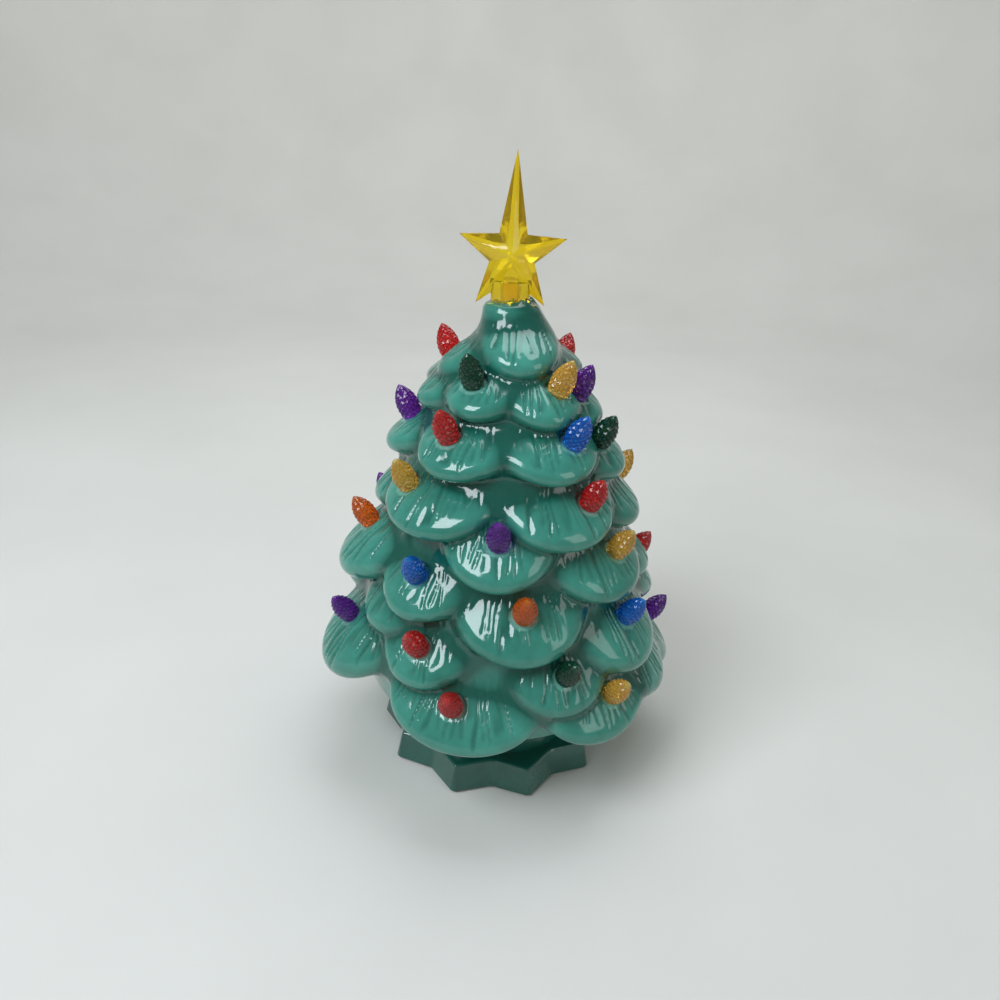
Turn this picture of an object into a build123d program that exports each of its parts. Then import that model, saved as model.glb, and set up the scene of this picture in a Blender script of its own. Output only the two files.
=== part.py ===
"""Ceramic Christmas tree: a glazed tree shell with push-in plastic bulbs and a star, standing on a
star-edged glazed base that holds a battery light. Millimetres, +Z up, front towards -Y, origin on the
table under the tree's axis."""

import math
import os

from build123d import *

# Clearances and cuts
fit_gap = 0.3
seat_gap = 0.4
foot_gap = 0.6
pin_gap = 0.06
cut_overrun = 1.0

# Felt pads under the base
pad_count = 5
pad_radius = 4.0
pad_height = 1.5
pad_ring_radius = 46.0

# Star-edged base
base_points = 10
base_height = 12.5
base_tip_radius = 54.0
base_valley_radius = 46.5
base_corner_radius = 3.0
base_taper_angle = 11.0
base_edge_radius = 1.6
base_plate = 4.0
base_pocket_radius = 39.8
spigot_height = 5.5
spigot_wall = 3.0
spigot_radius = 34.5
base_turn_angle = 18.0

# Tree shell
tree_height = 189.0
foot_height = 25.0
foot_wall = 5.0
skirt_radius = 76.0
shell_wall = 4.5
trunk_inset_low = 3.0
trunk_inset_high = 6.0
skirt_trim = 7.0
rim_radius = 10.0
rim_thickness = 6.0
tip_shift = -3.5
branch_reach = 24.0
shoulder_rise = 26.0
shoulder_lift = 0.8
bulb_rise_low = 52.0
bulb_rise_high = 68.0

# Outline that the bulb seats follow: height share of the tree, radius share of the skirt
outline_shares = (
    (0.086, 1.0),
    (0.246, 0.921),
    (0.32, 0.868),
    (0.5, 0.737),
    (0.659, 0.625),
    (0.759, 0.533),
    (0.87, 0.382),
    (0.934, 0.257),
    (1.0, 0.145),
)
crown_share = 0.55
nose_share = 0.36
slip_share = 0.06
root_share = 0.4
foot_bevel_share = 0.5
shell_joint_share = 0.48
shoulder_width_share = 0.8
shoulder_length_share = 0.5
shoulder_back_share = 0.42

# Branches that carry a bulb: bulb's bearing from the front, height share of the tree, half height as a
# share of the branch reach, width over height, turn of the branch from its bulb, shift out as a share
# of the branch reach, turn of the bulb's lean from its bearing
lit_branch_shares = (
    (-115, 0.87, 0.5, 1.2, 0, 0.0, 0),
    (-31, 0.865, 0.48, 1.2, 4, 0.0, 0),
    (32, 0.858, 0.48, 1.25, -8, 0.0, 60),
    (-36, 0.764, 0.54, 1.45, 5, 0.0, 0),
    (35, 0.766, 0.52, 1.5, -10, 0.0, 25),
    (-88, 0.754, 0.58, 1.25, 0, 0.0, 0),
    (63, 0.744, 0.54, 1.35, 6, -0.12, 0),
    (-54, 0.65, 0.58, 1.75, 13, 0.0, 0),
    (40, 0.65, 0.56, 1.65, -11, 0.0, 0),
    (106, 0.606, 0.62, 1.25, 0, -0.04, 0),
    (-3, 0.588, 0.64, 1.35, 0, 0.0, 0),
    (54, 0.532, 0.62, 1.55, -5, 0.0, 0),
    (-80, 0.513, 0.85, 1.2, 0, 0.12, 0),
    (-110, 0.5, 0.7, 1.25, -4, 0.0, 0),
    (-36, 0.489, 0.6, 1.35, 0, 0.0, 12),
    (8, 0.45, 0.68, 1.5, 0, 0.0, 0),
    (94, 0.427, 0.72, 1.25, 3, -0.1, 0),
    (54, 0.388, 0.76, 1.35, 0, 0.0, 0),
    (-29, 0.351, 0.53, 1.45, 0, 0.0, 0),
    (23, 0.318, 0.52, 1.55, 0, 0.0, 0),
    (-70, 0.309, 0.9, 1.3, 0, 0.08, 15),
    (97, 0.243, 0.76, 1.4, 0, 0.0, 0),
    (-14, 0.254, 0.63, 2.0, 2, 0.0, 0),
    (41, 0.246, 0.6, 1.8, -3, 0.0, 0),
    (136, 0.854, 0.46, 1.3, 0, -0.12, 0),
    (-157, 0.839, 0.52, 1.25, 0, 0.0, 0),
    (55, 0.84, 0.46, 1.2, 8, -0.12, 40),
    (-145, 0.733, 0.6, 1.4, 0, 0.0, 0),
    (142, 0.62, 0.62, 1.5, 4, 0.0, 0),
    (-176, 0.648, 0.64, 1.5, 0, 0.0, 0),
    (-137, 0.595, 0.62, 1.5, 0, 0.0, 0),
    (146, 0.474, 0.64, 1.4, 0, 0.0, 0),
    (-170, 0.479, 0.72, 1.45, 0, 0.0, 0),
    (-130, 0.375, 0.68, 1.45, 0, 0.0, 0),
    (145, 0.335, 0.64, 1.4, 0, 0.0, 0),
    (-164, 0.325, 0.6, 1.5, 0, 0.0, 0),
    (166, 0.254, 0.63, 1.95, 0, 0.0, 0),
    (-142, 0.24, 0.62, 1.75, 2, 0.0, 0),
)

# Branches without a bulb, in the same columns but the last
plain_branch_shares = (
    (6, 0.946, 0.5, 1.2, 0, 0.0),
    (-72, 0.915, 0.46, 1.2, 0, -0.04),
    (188, 0.944, 0.5, 1.2, 0, 0.0),
    (122, 0.905, 0.44, 1.2, 0, -0.12),
    (-103, 0.255, 0.72, 1.4, 0, 0.0),
    (130, 0.252, 0.6, 1.5, 0, 0.0),
    (105, 0.712, 0.56, 1.25, 0, -0.16),
    (-74, 0.85, 0.44, 1.3, 0, -0.02),
    (137, 0.744, 0.56, 1.35, 6, 0.0),
    (77, 0.636, 0.58, 1.35, 0, -0.1),
    (84, 0.505, 0.62, 1.3, 0, -0.1),
    (67, 0.262, 0.6, 1.4, 0, 0.0),
    (-90, 0.635, 0.62, 1.35, 0, -0.12),
    (-113, 0.69, 0.48, 1.35, 0, -0.08),
    (-52, 0.41, 0.52, 1.4, 0, -0.1),
    (-97, 0.4, 0.6, 1.3, 0, 0.0),
    (174, 0.8, 0.54, 1.4, 0, 0.0),
)

# Push-in bulbs
bulb_radius = 4.8
bulb_height = 14.0
bulb_seat_radius = 3.9
bulb_belly_share = 0.36
bulb_neck_share = 0.78
bulb_taper_share = 0.62
stem_radius = 2.2
stem_length = 9.0
seat_depth = 0.9
seat_margin = 0.5
bore_length = 22.0
bulb_pull = 14.0

# Star on top
star_rise = 17.5
star_top_arm = 36.0
star_side_arm = 21.0
star_low_arm = 22.5
star_core_radius = 9.0
star_edge = 1.2
star_depth = 6.5
star_collar_radius = 7.5
star_collar_height = 8.0
star_stem_radius = 4.0
star_stem_length = 13.0
star_stem_wall = 1.0
star_spine_share = 0.5

# Battery case in the base
case_flange = 2.5
case_wall = 1.6
case_height = 15.0
cell_radius = 5.25
cell_length = 43.7
cell_nub_radius = 1.9
cell_nub_height = 0.8
cell_pitch = 11.2
cell_count = 3
pocket_length = 49.0
pocket_width = 34.4
pocket_roof = 1.5
door_thickness = 2.0
door_lip = 2.2
door_pin_radius = 0.8
door_pin_length = 1.6
door_grip_radius = 5.0
door_grip_depth = 1.2
contact_thickness = 0.4
contact_width = 8.0
contact_height = 9.0
contact_tab_width = 3.0
contact_tab_rise = 2.0
spring_radius = 2.8
spring_wire = 0.35
spring_turns = 3.0

# Lamp deck above the case
deck_height = 8.6
deck_screw_x = 19.0
boss_radius = 2.8
screw_shank_radius = 1.1
screw_shank_length = 6.0
screw_head_radius = 2.3
screw_head_height = 1.4
screw_slot_width = 0.6
screw_slot_depth = 0.6
board_radius = 11.0
board_thickness = 1.2
board_stand = 1.5
board_ring_radius = 8.5
board_ring_width = 2.0
led_count = 3
led_ring_radius = 5.6
led_radius = 2.5
led_rim_radius = 2.9
led_rim_height = 1.0
led_body_height = 6.2
led_dome_radius = 2.1

# Switch beside the cells
switch_y = 24.6
switch_length = 12.0
switch_width = 6.0
switch_height = 5.0
switch_travel = 3.5
switch_skin = 1.0
knob_length = 3.0
knob_width = 2.4
knob_drop = 1.2
slider_length = 5.5
slider_width = 3.6
slider_thickness = 1.0
switch_pin_x = 3.0
switch_pin_width = 1.0
switch_pin_rise = 2.0

# Wires
wire_radius = 0.6
wire_bend = 1.8
wire_rise = 2.4
pad_hole_radius = 0.75
switch_pad_x = -3.0
switch_pad_y = 8.0
ground_pad_x = -7.6
ground_pad_y = -4.2

# Levels worked out from the sizes above
base_top = pad_height + base_height
plate_under = base_top - base_plate
spigot_top = base_top + spigot_height
tree_top = base_top + tree_height
skirt_level = base_top + foot_height
foot_radius = spigot_radius + foot_gap + foot_wall
case_bottom = plate_under - case_flange
case_radius = spigot_radius - spigot_wall - seat_gap
case_top = case_bottom + case_height
door_top = case_bottom + door_thickness
door_ledge = door_top + fit_gap
cell_level = door_ledge + fit_gap + cell_radius
roof_under = case_top - pocket_roof
deck_top = case_top + deck_height
deck_under = deck_top - case_wall
board_level = case_top + board_stand
board_top = board_level + board_thickness
stem_bore_radius = stem_radius + fit_gap


def outline_radius(height):
    """Radius of the bulb seats at a height above the base."""
    share = height / tree_height
    for (low, wide), (high, slim) in zip(outline_shares, outline_shares[1:]):
        if share <= high:
            return skirt_radius * (wide + (slim - wide) * (share - low) / (high - low))
    return skirt_radius * outline_shares[-1][1]


def bulb_rise(height_share):
    """Angle of a bulb above level: flatter low on the tree, steeper near the top."""
    low_share = outline_shares[1][0]
    high_share = outline_shares[-3][0]
    along = (height_share - low_share) / (high_share - low_share)
    return bulb_rise_low + (bulb_rise_high - bulb_rise_low) * along


def trunk_radius(height):
    """Radius of the trunk at a height above the base."""
    inset = trunk_inset_low + (trunk_inset_high - trunk_inset_low) * height / tree_height
    return outline_radius(height) - inset


def bearing(angle):
    """Level direction at an angle from the front, turning towards +X."""
    return Vector(math.sin(math.radians(angle)), -math.cos(math.radians(angle)), 0)


def lean(angle, rise):
    """Direction at a bearing that rises above level."""
    up = math.radians(rise)
    return bearing(angle) * math.cos(up) + Vector(0, 0, math.sin(up))


def crown_ball(half, crown, nose):
    """Depth of the crown's centre under the branch's mid plane."""
    core = half - nose
    rise = crown - nose
    return (core * core - rise * rise) / (2 * rise)


def branch_frame(row):
    """Mid plane of a branch, with its half height, crown and nose."""
    angle, height_share, half_share, _, turn, shift_share = row[:6]
    half = branch_reach * half_share
    crown = half * crown_share
    nose = half * nose_share
    out = bearing(angle + turn)
    normal = lean(angle + turn, bulb_rise(height_share))
    down = lean(angle + turn, bulb_rise(height_share) - 90)
    height = tree_height * height_share
    skin = out * (outline_radius(height) + branch_reach * shift_share) + Vector(0, 0, base_top + height)
    slip = half * (slip_share - root_share)
    depth = crown_ball(half, crown, nose)
    drop = math.sqrt((depth + crown) ** 2 - (slip / (1 + root_share)) ** 2) - depth
    centre = skin + down * slip - normal * drop
    side = down.cross(normal)
    return Plane(origin=centre, x_dir=side, z_dir=normal), half, crown, nose


def branch(row):
    """Outside of one branch, in place: a ball crown, a round nose and a flat underside, drawn out sideways
    and towards its root."""
    frame, half, crown, nose = branch_frame(row)
    core = half - nose
    depth = crown_ball(half, crown, nose)
    reach = math.hypot(core, depth)
    meet = (core + nose * core / reach, nose * depth / reach)
    with BuildPart() as body:
        with BuildSketch(Plane.XZ):
            with BuildLine():
                RadiusArc((0, crown), meet, depth + crown)
                ThreePointArc(meet, (half, 0), (core, -nose))
                Polyline((core, -nose), (0, -nose), (0, crown))
            make_face()
        revolve(axis=Axis.Z)
        scale(by=(row[3], 1 + root_share, 1))
    return body.part.moved(frame.location)


def shoulder(row):
    """Upper side of one branch, in place: it narrows from the branch to a point on the trunk above."""
    angle, height_share, _, width, turn, _ = row[:6]
    frame, half, _, _ = branch_frame(row)
    length = half * (1 + root_share)
    height = min(tree_height * height_share + shoulder_rise, tree_height)
    root = bearing(angle + turn) * (trunk_radius(height) + shoulder_lift)
    with BuildPart() as body:
        with BuildSketch(frame, mode=Mode.PRIVATE) as foot:
            with Locations((0, -length * shoulder_back_share)):
                Ellipse(half * width * shoulder_width_share, length * shoulder_length_share)
        loft(sections=[foot.sketch.face(), Vertex(root.X, root.Y, base_top + height)])
    return body.part


def bulb_frame(row):
    """Seat plane of a bulb, its Z along the bulb."""
    angle, height_share, _, width, _, shift_share, lean_turn = row
    frame, half, crown, nose = branch_frame(row)
    height = tree_height * height_share
    radius = outline_radius(height) + branch_reach * shift_share
    skin = bearing(angle) * radius + Vector(0, 0, base_top + height)
    local = frame.to_local_coords(skin)
    depth = crown_ball(half, crown, nose)
    off = math.hypot(local.X / width, local.Y / (1 + root_share))
    level = math.sqrt((depth + crown) ** 2 - off**2) - depth
    top = frame.from_local_coords((local.X, local.Y, level))
    axis = lean(angle + lean_turn, bulb_rise(height_share))
    across = bearing(angle + lean_turn + 90)
    return Plane(origin=top - axis * seat_depth, x_dir=across, z_dir=axis)


def bulb_cut(frame):
    """Room for one bulb: a flat seat in the branch and a bore that lets the light in."""
    with BuildPart() as room:
        with BuildSketch(frame):
            Circle(bulb_radius + seat_margin)
        extrude(amount=bulb_height + bulb_pull)
        with BuildSketch(frame):
            Circle(stem_bore_radius)
        extrude(amount=-bore_length)
    return room.part


def save(body, name):
    """Names a piece and writes it."""
    body.label = name
    export_step(body, f"parts/{name}.step")


os.makedirs("parts", exist_ok=True)

# Star-edged base, hollow below, with a ring that centres the tree
tips = []
for number in range(2 * base_points):
    radius = base_tip_radius if number % 2 == 0 else base_valley_radius
    corner = bearing(number * 180 / base_points + base_turn_angle) * radius
    tips.append((corner.X, corner.Y))

with BuildPart() as base_dish:
    with BuildSketch(Plane.XY.offset(pad_height)) as base_outline:
        Polygon(*tips, align=None)
        fillet(base_outline.vertices(), radius=base_corner_radius)
    extrude(amount=base_height, taper=base_taper_angle)
    top_edges = base_dish.faces().sort_by(Axis.Z)[-1].edges()
    fillet(top_edges, radius=base_edge_radius)
    with BuildSketch(Plane.XY.offset(base_top)):
        Circle(spigot_radius)
    extrude(amount=spigot_height)
    with BuildSketch(Plane.XY.offset(pad_height)):
        Circle(base_pocket_radius)
    extrude(amount=plate_under - pad_height, mode=Mode.SUBTRACT)
    with BuildSketch(Plane.XY.offset(pad_height)):
        Circle(spigot_radius - spigot_wall)
    extrude(amount=spigot_top - pad_height + cut_overrun, mode=Mode.SUBTRACT)
save(base_dish.part, "base_dish")

with BuildPart() as foot_pads:
    with BuildSketch():
        with PolarLocations(pad_ring_radius, pad_count, start_angle=base_turn_angle - 90):
            Circle(pad_radius)
    extrude(amount=pad_height)
save(foot_pads.part, "foot_pads")

# Foot ring that the tree shell stands on
with BuildPart() as tree_foot:
    with BuildSketch(Plane.XY.offset(base_top)):
        Circle(foot_radius)
        Circle(foot_radius - foot_wall, mode=Mode.SUBTRACT)
    extrude(amount=foot_height)
save(tree_foot.part, "tree_foot")

# Tree shell: trunk and branches outside, an even hollow inside, a seat and a light bore for each bulb
trunk_heights = [tree_height * high for high, _ in outline_shares[1:-1]]
trunk_points = [(trunk_radius(height), base_top + height) for height in trunk_heights]
skirt_edge = trunk_points[0][0] - skirt_trim
neck_radius, neck_level = trunk_points[-1]
with BuildPart() as trunk:
    with BuildSketch(Plane.XZ):
        with BuildLine():
            Polyline((0, skirt_level), (skirt_edge, skirt_level), *trunk_points, (0, neck_level), close=True)
        make_face()
    revolve(axis=Axis.Z)
    with BuildSketch(Plane.XY.offset(neck_level)):
        Circle(neck_radius)
    with BuildSketch(Plane.XY.offset(tree_top)):
        with Locations((tip_shift, 0)):
            Circle(rim_radius)
    loft()

hollow_points = [(radius - shell_wall, level) for radius, level in trunk_points]
with BuildPart() as hollow:
    with BuildSketch(Plane.XZ):
        with BuildLine():
            Polyline(
                (0, skirt_level - cut_overrun),
                (foot_radius - foot_wall, skirt_level - cut_overrun),
                (foot_radius - foot_wall, skirt_level + shell_wall * foot_bevel_share),
                (skirt_edge - shell_wall, skirt_level + shell_wall),
                *hollow_points,
                (rim_radius - shell_wall, tree_top - rim_thickness),
                (0, tree_top - rim_thickness),
                close=True,
            )
        make_face()
    revolve(axis=Axis.Z)

branch_rows = (*lit_branch_shares, *plain_branch_shares)
branches = [branch(row) for row in branch_rows]
shoulders = [shoulder(row) for row in branch_rows]
bulb_frames = [bulb_frame(row) for row in lit_branch_shares]
bulb_cuts = [bulb_cut(frame) for frame in bulb_frames]

with BuildPart() as tree_shell:
    add(trunk.part)
    add([*branches, *shoulders])
    add(hollow.part, mode=Mode.SUBTRACT)
    add(bulb_cuts, mode=Mode.SUBTRACT)
    with BuildSketch(Plane.XY.offset(tree_top + cut_overrun)):
        with Locations((tip_shift, 0)):
            Circle(star_stem_radius + fit_gap)
    extrude(amount=-(star_stem_length + 2 * cut_overrun), mode=Mode.SUBTRACT)

# The shell is cast as two rings, joined on a level and glazed over
shell_joint = Plane.XY.offset(base_top + tree_height * shell_joint_share)
for name, side in (("lower_shell", Keep.BOTTOM), ("upper_shell", Keep.TOP)):
    with BuildPart() as shell_ring:
        add(tree_shell.part)
        split(bisect_by=shell_joint, keep=side)
    save(shell_ring.part, name)

# One push-in bulb, set at every seat
belly = bulb_height * bulb_belly_share
with BuildPart() as bulb:
    with BuildSketch(Plane.XZ):
        with BuildLine():
            Polyline(
                (0, bulb_height),
                (0, -stem_length),
                (stem_radius, -stem_length),
                (stem_radius, 0),
                (bulb_seat_radius, 0),
            )
            Spline(
                (bulb_seat_radius, 0),
                (bulb_radius, belly),
                (bulb_radius * bulb_taper_share, bulb_height * bulb_neck_share),
                (0, bulb_height),
            )
        make_face()
    revolve(axis=Axis.Z)

for number, frame in enumerate(bulb_frames, start=1):
    save(bulb.part.moved(frame.location), f"bulb_{number:02d}")

# Star with ridged arms on both faces, a collar and a hollow stem
star_centre = tree_top + star_rise
star_arms = (star_top_arm, star_side_arm, star_low_arm, star_low_arm, star_side_arm)
star_points = []
for number, arm in enumerate(star_arms):
    tip_angle = math.radians(90 - number * 72)
    gap_angle = math.radians(54 - number * 72)
    star_points.append((arm * math.cos(tip_angle), arm * math.sin(tip_angle)))
    star_points.append((star_core_radius * math.cos(gap_angle), star_core_radius * math.sin(gap_angle)))

with BuildPart() as star_topper:
    star_plane = Plane(origin=(tip_shift, 0, star_centre), x_dir=(1, 0, 0), z_dir=(0, -1, 0))
    with BuildSketch(star_plane.offset(-star_edge)):
        Polygon(*star_points, align=None)
    extrude(amount=2 * star_edge)
    for side in (1, -1):
        with BuildSketch(star_plane.offset(side * star_edge), mode=Mode.PRIVATE) as star_face:
            Polygon(*star_points, align=None)
        peak = Vertex(*(star_plane.origin + star_plane.z_dir * side * star_depth))
        loft(sections=[star_face.sketch.face(), peak])
    star_seat = Plane(origin=(tip_shift, 0, tree_top))
    with BuildSketch(star_seat):
        Circle(star_collar_radius)
    extrude(amount=star_collar_height)
    with BuildSketch(star_seat):
        Circle(star_stem_radius)
    extrude(amount=-star_stem_length)
    with BuildSketch(star_seat):
        Circle(star_stem_radius)
    extrude(amount=star_rise - star_core_radius * star_spine_share)
    with BuildSketch(star_seat.offset(-star_stem_length)):
        Circle(star_stem_radius - star_stem_wall)
    extrude(amount=star_stem_length + star_collar_height, mode=Mode.SUBTRACT)
save(star_topper.part, "star_topper")

# Battery case: a flanged drum under the base plate with a pocket for the cells and two side chambers
pocket_side = pocket_width / 2 + case_wall
door_length = pocket_length + 2 * door_lip
door_width = pocket_width + 2 * door_lip
door_axis_x = -(door_length - door_thickness) / 2
door_axis_z = case_bottom + door_thickness / 2
tab_x = (pocket_length - contact_thickness) / 2
slot_length = knob_length + switch_travel + 2 * fit_gap
with BuildPart() as battery_case:
    with BuildSketch(Plane.XY.offset(case_bottom)):
        Circle(base_pocket_radius - seat_gap)
    extrude(amount=case_flange)
    with BuildSketch(Plane.XY.offset(case_bottom)):
        Circle(case_radius)
    extrude(amount=case_height)
    with BuildSketch(Plane.XY.offset(case_bottom)):
        Rectangle(pocket_length, pocket_width)
    extrude(amount=roof_under - case_bottom, mode=Mode.SUBTRACT)
    with BuildSketch(Plane.XY.offset(case_bottom)):
        Rectangle(door_length + 2 * fit_gap, door_width + 2 * fit_gap)
    extrude(amount=door_ledge - case_bottom, mode=Mode.SUBTRACT)
    with BuildSketch(Plane.XY.offset(plate_under)):
        Circle(case_radius - case_wall)
        Rectangle(2 * case_radius, 2 * pocket_side, mode=Mode.SUBTRACT)
    extrude(amount=case_height, mode=Mode.SUBTRACT)
    with BuildSketch(Plane.XY.offset(case_bottom)):
        with Locations((0, switch_y)):
            Rectangle(slot_length, knob_width + 2 * fit_gap)
    extrude(amount=case_flange + cut_overrun, mode=Mode.SUBTRACT)
    with BuildSketch(Plane.XZ.offset(-(door_width / 2 + door_pin_length + fit_gap))):
        with Locations((door_axis_x, door_axis_z)):
            Circle(door_pin_radius + pin_gap)
    extrude(amount=door_width + 2 * (door_pin_length + fit_gap), mode=Mode.SUBTRACT)
    with BuildSketch(Plane.XY.offset(case_bottom)):
        with Locations((door_length / 2, 0)):
            Circle(door_grip_radius)
    extrude(amount=door_grip_depth, mode=Mode.SUBTRACT)
    with BuildSketch(Plane.XY.offset(case_top)):
        with Locations((deck_screw_x, 0), (-deck_screw_x, 0)):
            Circle(boss_radius)
    extrude(amount=deck_under - case_top)
    with BuildSketch(Plane.XY.offset(deck_under)):
        with Locations((deck_screw_x, 0), (-deck_screw_x, 0)):
            Circle(screw_shank_radius + pin_gap)
    extrude(amount=-screw_shank_length, mode=Mode.SUBTRACT)
    with BuildSketch(Plane.XY.offset(case_top)):
        Circle(board_ring_radius)
        Circle(board_ring_radius - board_ring_width, mode=Mode.SUBTRACT)
    extrude(amount=board_stand)
    with BuildSketch(Plane.XY.offset(roof_under)):
        with Locations((tab_x, cell_pitch), (-tab_x, -cell_pitch)):
            Rectangle(contact_thickness + 2 * fit_gap, contact_tab_width + 2 * fit_gap)
    extrude(amount=pocket_roof + cut_overrun, mode=Mode.SUBTRACT)
save(battery_case.part, "battery_case")

with BuildPart() as battery_door:
    with BuildSketch(Plane.XY.offset(case_bottom)):
        with Locations((door_thickness / 4, 0)):
            Rectangle(door_length - door_thickness / 2, door_width)
    extrude(amount=door_thickness)
    with BuildSketch(Plane.XZ.offset(-door_width / 2)):
        with Locations((door_axis_x, door_axis_z)):
            Circle(door_thickness / 2)
    extrude(amount=door_width)
    with BuildSketch(Plane.XZ.offset(-(door_width / 2 + door_pin_length))):
        with Locations((door_axis_x, door_axis_z)):
            Circle(door_pin_radius)
    extrude(amount=door_width + 2 * door_pin_length)
save(battery_door.part, "battery_door")

# Cells side by side, every other one reversed
cell_start = pocket_length / 2 - contact_thickness - cell_nub_height - cell_length
cell_rows = [(number - (cell_count - 1) / 2) * cell_pitch for number in range(cell_count)]
cell_ways = [1 if number % 2 == 0 else -1 for number in range(cell_count)]
for number, (row_y, way) in enumerate(zip(cell_rows, cell_ways), start=1):
    cell_end = Plane(origin=(way * cell_start, row_y, cell_level), x_dir=(0, 1, 0), z_dir=(way, 0, 0))
    with BuildPart() as cell:
        with BuildSketch(cell_end):
            Circle(cell_radius)
        extrude(amount=cell_length)
        with BuildSketch(cell_end.offset(cell_length)):
            Circle(cell_nub_radius)
        extrude(amount=cell_nub_height)
    save(cell.part, f"cell_{number}")

# Contact plates at both ends: two that end the row and two that bridge neighbours
tab_rise = case_top + contact_tab_rise - cell_level
with BuildPart() as contact_plates:
    for side in (1, -1):
        wall = Vector(side * pocket_length / 2, 0, cell_level)
        plate = Plane(origin=wall, x_dir=(0, -side, 0), z_dir=(-side, 0, 0))
        with BuildSketch(plate):
            with Locations((-cell_pitch, 0)):
                Rectangle(contact_width, contact_height)
            with Locations((cell_pitch / 2, 0)):
                Rectangle(contact_width + cell_pitch, contact_height)
            with Locations((-cell_pitch, tab_rise / 2)):
                Rectangle(contact_tab_width, tab_rise)
        extrude(amount=contact_thickness)
save(contact_plates.part, "contact_plates")

# Coil springs that press on the flat ends of the cells
spring_room = pocket_length - 2 * contact_thickness - cell_length - cell_nub_height
spring_height = spring_room - 2 * spring_wire
springs = []
for row_y, way in zip(cell_rows, cell_ways):
    spring_end = way * (contact_thickness + spring_wire - pocket_length / 2)
    with BuildPart() as spring:
        with BuildLine() as coil:
            Helix(
                pitch=spring_height / spring_turns,
                height=spring_height,
                radius=spring_radius,
                center=(spring_end, row_y, cell_level),
                direction=(way, 0, 0),
            )
        with BuildSketch(Plane(origin=coil.line @ 0, z_dir=coil.line % 0)):
            Circle(spring_wire)
        sweep()
    springs.append(spring.part)

with BuildPart() as contact_springs:
    add(springs)
save(contact_springs.part, "contact_springs")

# Lamp deck: a cap over the case that lets the lamps through
led_places = PolarLocations(led_ring_radius, led_count, start_angle=90 / led_count)
with BuildPart() as lamp_deck:
    with BuildSketch(Plane.XY.offset(case_top)):
        Circle(case_radius)
    extrude(amount=deck_height)
    with BuildSketch(Plane.XY.offset(case_top)):
        Circle(case_radius - case_wall)
    extrude(amount=deck_under - case_top, mode=Mode.SUBTRACT)
    with BuildSketch(Plane.XY.offset(deck_under)):
        with led_places:
            Circle(led_radius + fit_gap)
        with Locations((deck_screw_x, 0), (-deck_screw_x, 0)):
            Circle(screw_shank_radius + fit_gap)
    extrude(amount=case_wall + cut_overrun, mode=Mode.SUBTRACT)
save(lamp_deck.part, "lamp_deck")

with BuildPart() as deck_screws:
    with BuildSketch(Plane.XY.offset(deck_top)):
        with Locations((deck_screw_x, 0), (-deck_screw_x, 0)):
            Circle(screw_head_radius)
    extrude(amount=screw_head_height)
    with BuildSketch(Plane.XY.offset(deck_top)):
        with Locations((deck_screw_x, 0), (-deck_screw_x, 0)):
            Circle(screw_shank_radius)
    extrude(amount=-screw_shank_length)
    with BuildSketch(Plane.XY.offset(deck_top + screw_head_height)):
        with Locations((deck_screw_x, 0), (-deck_screw_x, 0)):
            Rectangle(2 * screw_head_radius, screw_slot_width)
    extrude(amount=-screw_slot_depth, mode=Mode.SUBTRACT)
save(deck_screws.part, "deck_screws")

# Lamp board with its lamps
with BuildPart() as led_board:
    with BuildSketch(Plane.XY.offset(board_level)):
        Circle(board_radius)
        with Locations((switch_pad_x, switch_pad_y), (ground_pad_x, ground_pad_y)):
            Circle(pad_hole_radius, mode=Mode.SUBTRACT)
    extrude(amount=board_thickness)
save(led_board.part, "led_board")

with BuildPart() as led_lamps:
    with BuildSketch(Plane.XY.offset(board_top)):
        with led_places:
            Circle(led_rim_radius)
    extrude(amount=led_rim_height)
    with BuildSketch(Plane.XY.offset(board_top)):
        with led_places:
            Circle(led_radius)
    extrude(amount=led_rim_height + led_body_height)
    dome_edges = led_lamps.faces().filter_by(Axis.Z).group_by(Axis.Z)[-1].edges()
    fillet(dome_edges, radius=led_dome_radius)
save(led_lamps.part, "led_lamps")

# Slide switch: a body over a slot in the case and a slider with a knob below
switch_level = plate_under
slider_start = -switch_travel / 2
with BuildPart() as switch_body:
    with BuildSketch(Plane.XY.offset(switch_level)):
        with Locations((0, switch_y)):
            Rectangle(switch_length, switch_width)
    extrude(amount=switch_height)
    with BuildSketch(Plane.XY.offset(switch_level)):
        with Locations((0, switch_y)):
            Rectangle(switch_length - 2 * switch_skin, switch_width - 2 * switch_skin)
    extrude(amount=slider_thickness + 2 * fit_gap, mode=Mode.SUBTRACT)
    with BuildSketch(Plane.XY.offset(switch_level + switch_height)):
        with Locations((switch_pin_x, switch_y), (-switch_pin_x, switch_y)):
            Rectangle(switch_pin_width, switch_pin_width)
    extrude(amount=switch_pin_rise)
save(switch_body.part, "switch_body")

with BuildPart() as switch_slider:
    with BuildSketch(Plane.XY.offset(switch_level + fit_gap)):
        with Locations((slider_start, switch_y)):
            Rectangle(slider_length, slider_width)
    extrude(amount=slider_thickness)
    with BuildSketch(Plane.XY.offset(switch_level + fit_gap)):
        with Locations((slider_start, switch_y)):
            Rectangle(knob_length, knob_width)
    extrude(amount=-(case_flange + fit_gap + knob_drop))
save(switch_slider.part, "switch_slider")


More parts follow.
